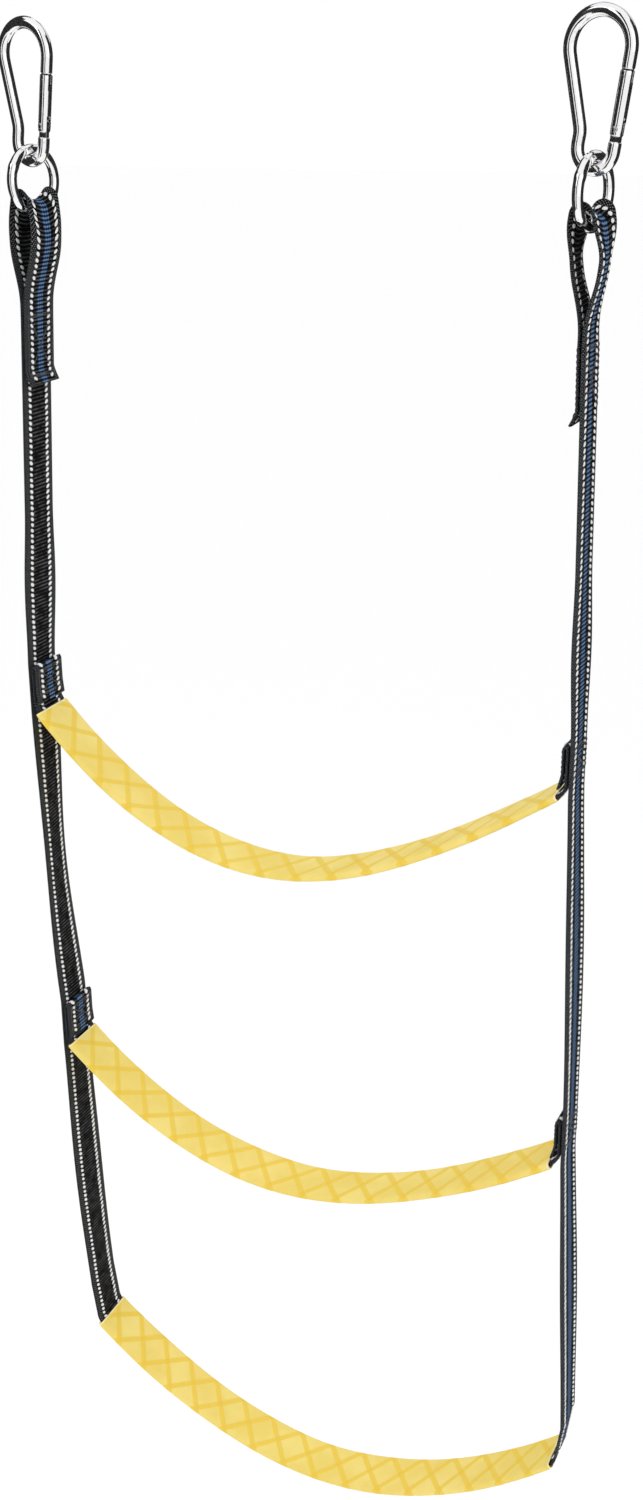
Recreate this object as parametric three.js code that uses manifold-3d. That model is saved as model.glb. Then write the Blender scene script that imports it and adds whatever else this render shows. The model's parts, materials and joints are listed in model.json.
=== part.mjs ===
// A rope ladder: two webbing rails hang from spring snap hooks and welded rings, and carry three
// sagging steps. Each step is a length of webbing inside a tough sleeve.
// Millimetres. +Z is up, +X is the ladder's right, +Y is its back. The origin is midway between the two
// points where the hooks bear on whatever holds them.
import * as THREE from 'three';
import { mergeVertices } from 'three/addons/utils/BufferGeometryUtils.js';
import Module from 'manifold-3d';

const wasm = await Module();
wasm.setup();

const radians = THREE.MathUtils.degToRad;

// ---- Driving dimensions -------------------------------------------------------------------------

const GAP = 0.3;                     // air between pieces that touch

const HOOK_SPACING = 298;            // between the two hooks' bearing points
const HANGER_YAW = radians(-11);     // hooks and rings hang turned a little, clockwise from above
const HOOK_WIRE = 6;                 // diameter
const HOOK_TOP_RADIUS = 15;          // of the wire's centreline over the top
const HOOK_BOW_RADIUS = 9;           // of the wire's centreline in the small bow that holds the ring
const HOOK_HEIGHT = 72;              // outside
const HOOK_LEFT_LEAN = radians(12);  // of the plain leg
const HOOK_LEFT_LEG = 30;            // straight length of the plain leg
const NOSE_DISTANCE = 7;             // from the end of the top arc to the nose's shoulder
const PIVOT_DISTANCE = 32;           // from the end of the top arc to the gate's rivet

const GATE_DIAMETER = 6.4;
const GATE_SLOT = 3;                 // width of the slots in both ends of the gate
const GATE_BELOW_PIVOT = 3.2;
const GATE_TOP_SLOT = 7.2;           // depth
const GATE_FOOT_SLOT = 5;            // depth above the pivot
const TONGUE_THICKNESS = 2.2;
const TONGUE_WIDTH = 5;
const TONGUE_HEEL = 3;               // height of the flat heel above the pivot
const SHOULDER_BELOW_PIVOT = 5.4;
const RIVET_DIAMETER = 2.4;
const LATCH_PIN_DIAMETER = 1.8;
const LATCH_PIN_DEPTH = 2.5;         // below the top of the gate
const SPRING_BORE = 3.2;             // diameter, in the gate
const SPRING_BORE_TOP = 16;          // above the pivot
const SPRING_WIRE = 0.4;
const SPRING_RADIUS = 1.1;           // of the wire's centreline
const SPRING_TURNS = 4;
const PLUNGER_DIAMETER = 2.6;
const PLUNGER_HEAD = 2.6;            // height of the head

const RING_RADIUS = 15.4;            // of the wire's centreline
const RING_WIRE = 5.2;

const WEBBING_WIDTH = 27;
const WEBBING_THICKNESS = 1.8;
const LOOP_RADIUS = 5.9;             // of the webbing's middle, over the ring
const LOOP_GAP = 0.9;                // air between the ring and the webbing over it, so that it can rock
const LOOP_PULL = 14;                // how far the legs keep their direction at each end of the loop
const LOOP_LENGTH = 47;              // from the ring's wire to where the two legs meet
const LOOP_SEAM_LENGTH = 41;         // of the sewn double webbing under the loop

const RAIL_SPACING = 320;            // between the middles of the two rails
const STEP_X = [-4.5, 1.6, 10];      // middle of each step, from the top one down
const STEP_Z = [-361, -580, -790.5]; // its ends
const STEP_SAG = [77, 67.5, 71.7];
const STEP_SKEW = [17, 10, -1.5];    // how far the sag leans to one side
const STEP_CURVE_POWER = 1.9;
const TURN_HEIGHT = 5;               // above the step's ends, where the webbing starts to turn into the sag
const STEP_NAMES = ['upper', 'middle', 'bottom'];
const TAB_HEIGHT = 26;               // of the step's end, doubled and sewn up the inside of the rail
const TAB_END = 3;                   // from the step's end up to the cut end of the webbing
const BOTTOM_LEAN = 3;               // how far the bottom step pulls each rail end inwards
const SLEEVE_WIDTH = 30.6;
const SLEEVE_THICKNESS = 4.4;
const SLEEVE_WALL = 0.8;
const SLEEVE_END = 1;                // from the end of the sag to the sleeve's end
const FOLD_GAP = 1;                  // bare length each side of a fold at a step
const CREASE_GAP = 3.4;              // bare length each side of the fold at mid rail
const STRAP_END_GAP = 1.5;           // bare length each side of the fold above the upper step
const STITCH_BAR = 1.6;              // width of a row of stitches
const STITCH_THICKNESS = 0.4;

const steel = new THREE.MeshStandardMaterial({ color: 0xc4c7ca, roughness: 0.22, metalness: 1 });
const darkSteel = new THREE.MeshStandardMaterial({ color: 0x9a9da0, roughness: 0.35, metalness: 1 });
const webbing = new THREE.MeshStandardMaterial({ color: 0x191a1d, roughness: 0.85, metalness: 0 });
const thread = new THREE.MeshStandardMaterial({ color: 0x2c2d31, roughness: 0.8, metalness: 0 });
const sleeve = new THREE.MeshStandardMaterial({ color: 0xe6c964, roughness: 0.5, metalness: 0 });

const ladder = new THREE.Group();

// ---- Helpers ------------------------------------------------------------------------------------

function add(parent, name, geometry, material) {
  const mesh = new THREE.Mesh(geometry, material);
  mesh.name = name;
  parent.add(mesh);
}

function groupAt(parent, x, z) {
  const group = new THREE.Group();
  group.position.set(x, 0, z);
  parent.add(group);
  return group;
}

// A closed geometry as a solid for cutting and joining, and back.
function solid(geometry) {
  const bare = new THREE.BufferGeometry();
  bare.setAttribute('position', geometry.getAttribute('position').clone());
  bare.setIndex(geometry.index);
  const merged = mergeVertices(bare, 1e-4);
  return new wasm.Manifold(new wasm.Mesh({
    numProp: 3,
    vertProperties: merged.getAttribute('position').array,
    triVerts: Uint32Array.from(merged.index.array),
  }));
}

function shapeOf(result) {
  const mesh = result.getMesh();
  const geometry = new THREE.BufferGeometry();
  geometry.setAttribute('position', new THREE.BufferAttribute(mesh.vertProperties, 3));
  geometry.setIndex(new THREE.BufferAttribute(mesh.triVerts, 1));
  return geometry;
}

// A rod along Z from 0 to its length, and one along Y with its middle at a point in the XZ plane.
function rod(diameter, length, sides, rows = 1) {
  const geometry = new THREE.CylinderGeometry(diameter / 2, diameter / 2, length, sides, rows);
  return geometry.rotateX(Math.PI / 2).translate(0, 0, length / 2);
}

function crossRod(diameter, length, x, z) {
  return new THREE.CylinderGeometry(diameter / 2, diameter / 2, length, 12).translate(x, 0, z);
}

// A block between two X and two Z positions, centred in Y.
function block(lowX, highX, width, lowZ, highZ) {
  const geometry = new THREE.BoxGeometry(highX - lowX, width, highZ - lowZ);
  return geometry.translate((lowX + highX) / 2, 0, (lowZ + highZ) / 2);
}

// Bends a straight geometry, whose length runs along Z, onto a curve in the XZ plane. The geometry's X
// becomes the offset to the curve's right, and its Y stays. A cup of 1 at a height curls the width up
// to the radius given, and 0 leaves it flat.
function bend(geometry, path, start = 0, cupAt = () => 0, cupRadius = 1) {
  const position = geometry.getAttribute('position');
  const length = path.getLength();
  for (let i = 0; i < position.count; i++) {
    const t = THREE.MathUtils.clamp((start + position.getZ(i)) / length, 0, 1);
    const middle = path.getPoint(t);
    const along = path.getTangent(t);
    const offset = position.getX(i);
    const cup = cupAt(middle.y);
    const angle = cup * position.getY(i) / cupRadius;
    const across = cup > 0 ? cupRadius / cup * Math.sin(angle) : position.getY(i);
    const lift = cup > 0 ? cupRadius / cup * (1 - Math.cos(angle)) : 0;
    position.setXYZ(
      i,
      middle.x + offset * along.y,
      across + offset * along.x * Math.sin(angle),
      middle.y + lift - offset * along.x * Math.cos(angle),
    );
  }
  return geometry;
}

// Flat webbing along a curve in the XZ plane: `divisions` rows in each of the curve's stretches.
function strip(path, divisions, acrossRows = 1, cupAt, cupRadius) {
  const ends = [0, ...path.getCurveLengths()];
  const rows = divisions.flatMap((count, i) => (
    Array.from({ length: count }, (_, j) => ends[i] + (ends[i + 1] - ends[i]) * j / count)
  ));
  rows.push(ends.at(-1));
  const last = rows.length - 1;
  const geometry = new THREE.BoxGeometry(WEBBING_THICKNESS, WEBBING_WIDTH, last, 1, acrossRows, last);
  const position = geometry.getAttribute('position');
  for (let i = 0; i < position.count; i++) {
    position.setZ(i, rows[Math.round(position.getZ(i) + last / 2)]);
  }
  return bend(geometry, path, 0, cupAt, cupRadius);
}

// Turns each level of a geometry about Z, by an angle that depends on its height.
function twist(geometry, angleAt) {
  const position = geometry.getAttribute('position');
  for (let i = 0; i < position.count; i++) {
    const [x, y, z] = [position.getX(i), position.getY(i), position.getZ(i)];
    const angle = angleAt(z);
    position.setXYZ(i, x * Math.cos(angle) - y * Math.sin(angle), x * Math.sin(angle) + y * Math.cos(angle), z);
  }
  return geometry;
}

// Rows of stitches in a box with both diagonals, standing in the YZ plane, centred in Y.
function boxStitch(lowZ, highZ, lowX) {
  const halfWidth = WEBBING_WIDTH / 2 - 2;
  const halfHeight = (highZ - lowZ) / 2;
  const outline = new THREE.Shape([
    new THREE.Vector2(-halfWidth, -halfHeight),
    new THREE.Vector2(halfWidth, -halfHeight),
    new THREE.Vector2(halfWidth, halfHeight),
    new THREE.Vector2(-halfWidth, halfHeight),
  ]);
  const w = halfWidth - STITCH_BAR;
  const h = halfHeight - STITCH_BAR;
  const sideStep = STITCH_BAR * Math.hypot(w, h) / w / 2;   // half of a diagonal's height
  const endStep = STITCH_BAR * Math.hypot(w, h) / h / 2;    // half of a diagonal's width
  for (const side of [-1, 1]) {
    outline.holes.push(new THREE.Path([
      new THREE.Vector2(side * w, -h + sideStep),
      new THREE.Vector2(side * w, h - sideStep),
      new THREE.Vector2(side * endStep, 0),
    ]));
    outline.holes.push(new THREE.Path([
      new THREE.Vector2(-w + endStep, side * h),
      new THREE.Vector2(w - endStep, side * h),
      new THREE.Vector2(0, side * sideStep),
    ]));
  }
  const geometry = new THREE.ExtrudeGeometry(outline, { depth: STITCH_THICKNESS, bevelEnabled: false });
  geometry.applyMatrix4(new THREE.Matrix4().makeBasis(
    new THREE.Vector3(0, 1, 0), new THREE.Vector3(0, 0, 1), new THREE.Vector3(1, 0, 0),
  ));
  return geometry.translate(lowX, 0, (lowZ + highZ) / 2);
}

// ---- Hook, gate and ring ------------------------------------------------------------------------

// The hook's wire is a pear. Its gate side is the straight line that touches the top arc and the bow.
const TOP_CENTRE_Z = HOOK_WIRE / 2 - HOOK_TOP_RADIUS;
const BOW_CENTRE_Z = HOOK_WIRE * 1.5 - HOOK_HEIGHT + HOOK_BOW_RADIUS;
const GATE_LEAN = Math.asin((HOOK_TOP_RADIUS - HOOK_BOW_RADIUS) / (TOP_CENTRE_Z - BOW_CENTRE_Z));
const BOW_WIRE_Z = BOW_CENTRE_Z - HOOK_BOW_RADIUS;

// A point on the gate side, by its distance from the end of the top arc.
function gateSide(distance) {
  return new THREE.Vector2(
    HOOK_TOP_RADIUS * Math.cos(GATE_LEAN) - distance * Math.sin(GATE_LEAN),
    TOP_CENTRE_Z - HOOK_TOP_RADIUS * Math.sin(GATE_LEAN) - distance * Math.cos(GATE_LEAN),
  );
}

const GATE_LENGTH = PIVOT_DISTANCE - NOSE_DISTANCE - 0.5;   // from the pivot to the gate's top
const LATCH_PIN_HEIGHT = GATE_LENGTH - LATCH_PIN_DEPTH;

function hookWirePath() {
  const shoulder = gateSide(PIVOT_DISTANCE + SHOULDER_BELOW_PIVOT);
  const nose = gateSide(NOSE_DISTANCE);
  const legTop = new THREE.Vector2(
    -HOOK_TOP_RADIUS * Math.cos(HOOK_LEFT_LEAN),
    TOP_CENTRE_Z - HOOK_TOP_RADIUS * Math.sin(HOOK_LEFT_LEAN),
  );
  const down = new THREE.Vector2(Math.sin(HOOK_LEFT_LEAN), -Math.cos(HOOK_LEFT_LEAN));
  const legFoot = legTop.clone().addScaledVector(down, HOOK_LEFT_LEG);
  const jog = legFoot.clone().addScaledVector(down, 4);
  const path = new THREE.Path();
  path.moveTo(shoulder.x, shoulder.y);
  path.lineTo(HOOK_BOW_RADIUS * Math.cos(GATE_LEAN), BOW_CENTRE_Z - HOOK_BOW_RADIUS * Math.sin(GATE_LEAN));
  path.absarc(0, BOW_CENTRE_Z, HOOK_BOW_RADIUS, -GATE_LEAN, -Math.PI, true);
  path.bezierCurveTo(-HOOK_BOW_RADIUS, BOW_CENTRE_Z + 4, jog.x, jog.y, legFoot.x, legFoot.y);
  path.lineTo(legTop.x, legTop.y);
  path.absarc(0, TOP_CENTRE_Z, HOOK_TOP_RADIUS, Math.PI + HOOK_LEFT_LEAN, -GATE_LEAN, true);
  path.lineTo(nose.x, nose.y);
  return path;
}

// Moves a geometry from the gate's frame, whose origin is the pivot and whose Z runs up the gate.
function onGateSide(geometry) {
  const pivot = gateSide(PIVOT_DISTANCE);
  return geometry.rotateY(GATE_LEAN).translate(pivot.x, 0, pivot.y);
}

function hookGeometry() {
  const path = hookWirePath();
  const wire = bend(rod(HOOK_WIRE, path.getLength(), 10, 42), path);
  const half = TONGUE_WIDTH / 2;
  const noseTip = LATCH_PIN_HEIGHT - LATCH_PIN_DIAMETER / 2 - GAP - 1.6;
  const noseRoot = GATE_LENGTH + 1.5;
  const noseTongue = onGateSide(block(-half, half, TONGUE_THICKNESS, noseTip, noseRoot));
  const notchHalf = LATCH_PIN_DIAMETER / 2 + GAP;
  const notch = onGateSide(block(
    -half - 1, notchHalf, TONGUE_THICKNESS + 2, LATCH_PIN_HEIGHT - notchHalf, LATCH_PIN_HEIGHT + notchHalf,
  ));
  const footTongue = onGateSide(block(
    -half, half, TONGUE_THICKNESS, -SHOULDER_BELOW_PIVOT - 1, TONGUE_HEEL,
  ));
  const rivetHole = onGateSide(crossRod(RIVET_DIAMETER + 2 * GAP, 8, 0, 0));
  const whole = solid(wire).add(solid(noseTongue)).add(solid(footTongue));
  return shapeOf(whole.subtract(solid(notch)).subtract(solid(rivetHole)));
}

function gateGeometry() {
  const radius = GATE_DIAMETER / 2;
  const bar = solid(rod(GATE_DIAMETER, GATE_LENGTH, 12)).add(
    solid(crossRod(2 * GATE_BELOW_PIVOT, GATE_DIAMETER, 0, 0)).intersect(
      solid(rod(GATE_DIAMETER, GATE_BELOW_PIVOT, 12).translate(0, 0, -GATE_BELOW_PIVOT)),
    ),
  );
  const topSlot = block(-radius - 1, radius + 1, GATE_SLOT, GATE_LENGTH - GATE_TOP_SLOT, GATE_LENGTH + 1);
  const footSlot = block(-radius - 1, radius + 1, GATE_SLOT, -GATE_BELOW_PIVOT - 1, GATE_FOOT_SLOT);
  const bore = rod(SPRING_BORE, SPRING_BORE_TOP - GATE_FOOT_SLOT + 1, 10).translate(0, 0, GATE_FOOT_SLOT - 1);
  const pinHole = crossRod(LATCH_PIN_DIAMETER + 2 * GAP, 8, 0, LATCH_PIN_HEIGHT);
  const rivetHole = crossRod(RIVET_DIAMETER + 2 * GAP, 8, 0, 0);
  const cuts = [topSlot, footSlot, bore, pinHole, rivetHole];
  return shapeOf(cuts.reduce((body, cut) => body.subtract(solid(cut)), bar));
}

class Helix extends THREE.Curve {
  constructor(radius, lowZ, highZ, turns) {
    super();
    Object.assign(this, { radius, lowZ, highZ, turns });
  }

  getPoint(t) {
    const angle = t * this.turns * 2 * Math.PI;
    return new THREE.Vector3(
      this.radius * Math.cos(angle), this.radius * Math.sin(angle), this.lowZ + t * (this.highZ - this.lowZ),
    );
  }
}

const PLUNGER_FOOT = TONGUE_HEEL + GAP;

function springGeometry() {
  const section = new THREE.Shape().absarc(0, 0, SPRING_WIRE / 2, 0, 2 * Math.PI);
  const low = PLUNGER_FOOT + PLUNGER_HEAD + GAP + SPRING_WIRE / 2;
  const high = SPRING_BORE_TOP - GAP - SPRING_WIRE / 2;
  return new THREE.ExtrudeGeometry(section, {
    steps: SPRING_TURNS * 8,
    curveSegments: 2,
    extrudePath: new Helix(SPRING_RADIUS, low, high, SPRING_TURNS),
  });
}

// The plunger's head bears on the hook's heel, and its stem stands in the spring.
function plungerGeometry() {
  const headRadius = PLUNGER_DIAMETER / 2;
  const stemRadius = 0.5;
  const headTop = PLUNGER_FOOT + PLUNGER_HEAD;
  const profile = [
    [0, PLUNGER_FOOT],
    [headRadius - 0.4, PLUNGER_FOOT],
    [headRadius, PLUNGER_FOOT + 0.4],
    [headRadius, headTop],
    [stemRadius, headTop],
    [stemRadius, headTop + 4],
    [0, headTop + 4],
  ].map(([x, y]) => new THREE.Vector2(x, y));
  return new THREE.LatheGeometry(profile, 8).rotateX(Math.PI / 2);
}

const RING_TOP_Z = BOW_WIRE_Z + HOOK_WIRE / 2 + RING_WIRE / 2 + GAP;
const RING_CENTRE_Z = RING_TOP_Z - RING_RADIUS;
const RING_FOOT_Z = RING_CENTRE_Z - RING_RADIUS;      // middle of the wire that the webbing goes round

function addHanger(side, x) {
  const hanger = groupAt(ladder, x, 0);
  hanger.rotation.z = HANGER_YAW;
  add(hanger, `${side}_hook`, hookGeometry(), steel);
  add(
    hanger,
    `${side}_ring`,
    new THREE.TorusGeometry(RING_RADIUS, RING_WIRE / 2, 8, 24).rotateY(Math.PI / 2).translate(0, 0, RING_CENTRE_Z),
    steel,
  );
  const pivot = gateSide(PIVOT_DISTANCE);
  const gate = groupAt(hanger, pivot.x, pivot.y);
  gate.rotation.y = GATE_LEAN;
  add(gate, `${side}_gate`, gateGeometry(), steel);
  add(gate, `${side}_gate_rivet`, crossRod(RIVET_DIAMETER, GATE_DIAMETER + 0.8, 0, 0), darkSteel);
  add(gate, `${side}_latch_pin`, crossRod(LATCH_PIN_DIAMETER, GATE_DIAMETER, 0, LATCH_PIN_HEIGHT), darkSteel);
  add(gate, `${side}_gate_spring`, springGeometry(), darkSteel);
  add(gate, `${side}_gate_plunger`, plungerGeometry(), darkSteel);
}

// ---- Top straps ---------------------------------------------------------------------------------

const LAYER = WEBBING_THICKNESS + GAP;                // from one sewn layer's middle to the next one's
const CUP_RADIUS = RING_RADIUS - RING_WIRE / 2 - LOOP_GAP - WEBBING_THICKNESS / 2;
const LOOP_ARC_Z = RING_WIRE / 2 + LOOP_GAP + WEBBING_THICKNESS / 2 - LOOP_RADIUS;
const JOINT_TOP = TAB_HEIGHT + 1;                     // top of a rail's joint section, above the step's ends
const JOINT_FOOT = -2;

// The webbing starts at its sewn tail on the rail's inner face, goes up, over the ring's wire and down
// the outer face. Its curl fits the ring, and both curl and turn fade out below.
function topStrapPath(outward, strapLength) {
  const x = outward * LAYER / 2;
  const wide = outward * (LOOP_RADIUS + 0.4);
  const path = new THREE.Path();
  path.moveTo(-x, -LOOP_LENGTH - LOOP_SEAM_LENGTH);
  path.lineTo(-x, -LOOP_LENGTH);
  path.bezierCurveTo(
    -x, -LOOP_LENGTH + LOOP_PULL, -wide, -LOOP_PULL - 4, -outward * LOOP_RADIUS, LOOP_ARC_Z,
  );
  const start = outward > 0 ? Math.PI : 0;
  path.absarc(0, LOOP_ARC_Z, LOOP_RADIUS, start, Math.PI - start, outward > 0);
  path.bezierCurveTo(
    wide, -LOOP_PULL - 4, x, -LOOP_LENGTH + LOOP_PULL, x, -LOOP_LENGTH,
  );
  path.lineTo(x, -LOOP_LENGTH - LOOP_SEAM_LENGTH);
  path.lineTo(x, -strapLength);
  return path;
}

const fade = (z, low, high) => THREE.MathUtils.smoothstep(z, low, high);
const loopCup = (z) => fade(z, -LOOP_LENGTH, -6);
const loopYaw = (z) => HANGER_YAW * fade(z, -LOOP_LENGTH, -10);

function addTopStrap(side, outward) {
  const ringX = outward * HOOK_SPACING / 2;
  const railX = STEP_X[0] + outward * RAIL_SPACING / 2;
  const jointTopZ = STEP_Z[0] + JOINT_TOP;
  const drop = RING_FOOT_Z - jointTopZ - 2 * STRAP_END_GAP;
  const strap = groupAt(ladder, ringX, RING_FOOT_Z);
  strap.rotation.y = Math.atan2(ringX + outward * LAYER / 2 - railX, drop);
  const strapLength = Math.hypot(ringX + outward * LAYER / 2 - railX, drop);
  const webbingGeometry = strip(
    topStrapPath(outward, strapLength), [1, 6, 7, 6, 1, 1], 4, loopCup, CUP_RADIUS,
  );
  add(strap, `${side}_top_strap`, twist(webbingGeometry, loopYaw), webbing);
  const face = LAYER / 2 + WEBBING_THICKNESS / 2 + GAP;
  const stitchX = outward > 0 ? -face - STITCH_THICKNESS : face;
  const stitches = boxStitch(-LOOP_LENGTH - LOOP_SEAM_LENGTH + 3, -LOOP_LENGTH - 3, stitchX);
  add(strap, `${side}_loop_stitching`, stitches, thread);
}

// ---- Steps --------------------------------------------------------------------------------------

// The sagging middle of a step, from its left end to its right end.
class SagCurve extends THREE.Curve {
  constructor(index, halfSpan, trim) {
    super();
    Object.assign(this, { index, halfSpan, trim });
  }

  getPoint(t) {
    const u = (2 * t - 1) * (1 - this.trim);
    const sag = STEP_SAG[this.index] * (1 - Math.abs(u) ** STEP_CURVE_POWER);
    const skew = STEP_SKEW[this.index] * u * (1 - u * u);
    return new THREE.Vector2(STEP_X[this.index] + u * this.halfSpan, STEP_Z[this.index] - sag + skew);
  }
}

// The turn from a rail's direction into the sag, as a curve from above the corner to the sag's end.
function turnCurve(index, side, halfSpan, sagEnd) {
  const x = STEP_X[index] + side * halfSpan;
  return new THREE.QuadraticBezierCurve(
    new THREE.Vector2(x, STEP_Z[index] + TURN_HEIGHT), new THREE.Vector2(x, STEP_Z[index]), sagEnd,
  );
}

// The reverse of a curve made of lines, arcs and quadratic curves.
function reversed(curve) {
  const back = new THREE.Curve();
  back.getPoint = (t) => curve.getPointAt(1 - t);
  return back;
}

// One end of a step's webbing, from its top or its cut end to the turn. A doubled end starts at the cut
// end on the inside, goes up, folds over at the top and comes down beside the rail.
function stepEnd(index, side, halfSpan, topHalfSpan, doubled) {
  const x = (span) => STEP_X[index] + side * span;
  const z = STEP_Z[index];
  const turn = new THREE.Vector2(x(halfSpan), z + TURN_HEIGHT);
  if (!doubled) {
    return [new THREE.LineCurve(new THREE.Vector2(x(topHalfSpan), z + TAB_HEIGHT), turn)];
  }
  const radius = LAYER / 2;
  const foldZ = z + TAB_HEIGHT - radius - WEBBING_THICKNESS / 2;
  const inner = x(halfSpan - LAYER);
  const start = side < 0 ? 0 : Math.PI;
  return [
    new THREE.LineCurve(new THREE.Vector2(inner, z + TAB_END), new THREE.Vector2(inner, foldZ)),
    new THREE.EllipseCurve(x(halfSpan - radius), foldZ, radius, radius, start, Math.PI - start, side > 0),
    new THREE.LineCurve(new THREE.Vector2(x(halfSpan), foldZ), turn),
  ];
}

// The webbing of a step: its left end, a turn, the sag, a turn and its right end.
function stepPath(index, halfSpan, topHalfSpan, doubled) {
  const sagCurve = new SagCurve(index, halfSpan, 0.03);
  const path = new THREE.CurvePath();
  const leftEnd = stepEnd(index, -1, halfSpan, topHalfSpan, doubled);
  const rightEnd = stepEnd(index, 1, halfSpan, topHalfSpan, doubled);
  leftEnd.forEach((curve) => path.add(curve));
  path.add(turnCurve(index, -1, halfSpan, sagCurve.getPoint(0)));
  path.add(sagCurve);
  path.add(reversed(turnCurve(index, 1, halfSpan, sagCurve.getPoint(1))));
  rightEnd.reverse().forEach((curve) => path.add(reversed(curve)));
  return path;
}

function flatTube(shape, width, thickness) {
  const radius = thickness / 2;
  const straight = width / 2 - radius;
  shape.absarc(0, straight, radius, 0, Math.PI, false);
  shape.absarc(0, -straight, radius, Math.PI, 2 * Math.PI, false);
  return shape;
}

function addStep(index) {
  const name = STEP_NAMES[index];
  const isBottom = index === STEP_NAMES.length - 1;
  const halfSpan = RAIL_SPACING / 2 - (isBottom ? BOTTOM_LEAN : LAYER);
  const path = stepPath(index, halfSpan, RAIL_SPACING / 2, !isBottom);
  const endRows = isBottom ? [1] : [1, 4, 1];
  add(ladder, `${name}_step_webbing`, strip(path, [...endRows, 3, 20, 3, ...endRows.toReversed()]), webbing);

  const tube = flatTube(new THREE.Shape(), SLEEVE_WIDTH, SLEEVE_THICKNESS);
  tube.holes.push(flatTube(new THREE.Path(), SLEEVE_WIDTH - 2 * SLEEVE_WALL, SLEEVE_THICKNESS - 2 * SLEEVE_WALL));
  const start = path.getCurveLengths()[endRows.length] + SLEEVE_END;
  const tubeLength = path.getLength() - 2 * start;
  const tubeGeometry = new THREE.ExtrudeGeometry(tube, {
    depth: tubeLength, steps: 22, curveSegments: 2, bevelEnabled: false,
  });
  add(ladder, `${name}_step_sleeve`, bend(tubeGeometry, path, start), sleeve);
}

// ---- Rails --------------------------------------------------------------------------------------

// A straight, flat length of rail between two points in the XZ plane, shortened at both ends.
function railLength(from, to, trimFrom, trimTo) {
  const along = to.clone().sub(from);
  const length = along.length() - trimFrom - trimTo;
  const geometry = new THREE.BoxGeometry(WEBBING_THICKNESS, WEBBING_WIDTH, length);
  const middle = from.clone().addScaledVector(along.normalize(), trimFrom + length / 2);
  return geometry.rotateY(Math.atan2(along.x, along.y)).translate(middle.x, 0, middle.y);
}

const foldAbove = (index) => STEP_Z[index] + JOINT_TOP + FOLD_GAP;
const foldBelow = (index) => STEP_Z[index] + JOINT_FOOT - FOLD_GAP;

function addJoint(side, outward, index) {
  const x = STEP_X[index] + outward * RAIL_SPACING / 2;
  const z = STEP_Z[index];
  const half = WEBBING_THICKNESS / 2;
  const joint = `${side}_${STEP_NAMES[index]}`;
  add(
    ladder, `${joint}_joint_rail`, block(x - half, x + half, WEBBING_WIDTH, z + JOINT_FOOT, z + JOINT_TOP), webbing,
  );
  const tabFace = half + 2 * LAYER + GAP;
  const stitchX = outward > 0 ? x - tabFace - STITCH_THICKNESS : x + tabFace;
  add(ladder, `${joint}_joint_stitching`, boxStitch(z + 6, z + TAB_HEIGHT - 1, stitchX), thread);
}

// Between two steps each rail has a fold at half height, so it is two lengths.
function addRails(side, outward, index) {
  const from = new THREE.Vector2(STEP_X[index] + outward * RAIL_SPACING / 2, foldBelow(index));
  const to = new THREE.Vector2(STEP_X[index + 1] + outward * RAIL_SPACING / 2, foldAbove(index + 1));
  if (index + 1 === STEP_NAMES.length - 1) {
    to.y = STEP_Z[index + 1] + TAB_HEIGHT + FOLD_GAP;   // the bottom step's own webbing starts here
  }
  const crease = from.clone().add(to).multiplyScalar(0.5);
  const name = `${side}_rail_above_${STEP_NAMES[index + 1]}`;
  add(ladder, `${name}_upper_half`, railLength(from, crease, FOLD_GAP, CREASE_GAP), webbing);
  add(ladder, `${name}_lower_half`, railLength(crease, to, CREASE_GAP, FOLD_GAP), webbing);
}

for (const [side, outward] of [['left', -1], ['right', 1]]) {
  addHanger(side, outward * HOOK_SPACING / 2);
  addTopStrap(side, outward);
  for (const index of [0, 1]) {
    addJoint(side, outward, index);
    addRails(side, outward, index);
  }
}
STEP_NAMES.forEach((_, index) => addStep(index));

export default ladder;
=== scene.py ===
"""Rope ladder: webbing rails on snap hooks and rings, with three sleeved steps.

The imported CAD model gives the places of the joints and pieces. This script makes the visible surfaces
around it: woven webbing with reflective yarn, embossed sleeves, stitches and polished hooks and rings.
Metres, +Z up, +X to the ladder's right, +Y to its back.
"""
import json
import math
import random

import bmesh
import bpy
import numpy as np
from mathutils import Matrix, Vector


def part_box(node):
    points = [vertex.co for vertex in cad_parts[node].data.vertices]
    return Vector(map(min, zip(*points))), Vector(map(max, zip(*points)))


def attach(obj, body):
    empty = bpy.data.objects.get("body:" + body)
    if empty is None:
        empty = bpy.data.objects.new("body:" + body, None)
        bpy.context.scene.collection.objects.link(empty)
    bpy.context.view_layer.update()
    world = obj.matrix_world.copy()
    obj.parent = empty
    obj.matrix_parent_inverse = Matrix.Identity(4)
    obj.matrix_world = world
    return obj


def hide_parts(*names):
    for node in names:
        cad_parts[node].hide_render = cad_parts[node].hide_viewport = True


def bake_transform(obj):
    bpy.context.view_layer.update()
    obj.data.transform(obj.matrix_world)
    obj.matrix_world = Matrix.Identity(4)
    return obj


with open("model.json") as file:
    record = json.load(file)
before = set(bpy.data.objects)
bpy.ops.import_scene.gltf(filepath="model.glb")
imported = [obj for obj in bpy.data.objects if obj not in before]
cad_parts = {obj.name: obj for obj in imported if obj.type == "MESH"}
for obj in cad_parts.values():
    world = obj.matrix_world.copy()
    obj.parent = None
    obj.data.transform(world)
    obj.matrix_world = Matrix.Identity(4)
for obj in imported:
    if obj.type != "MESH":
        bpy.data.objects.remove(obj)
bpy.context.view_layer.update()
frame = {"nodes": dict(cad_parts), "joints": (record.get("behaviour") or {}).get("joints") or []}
JOINTS = {joint["name"]: joint for joint in frame["joints"]}
MM = 0.001
SIDES = (("left", -1), ("right", 1))

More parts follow.
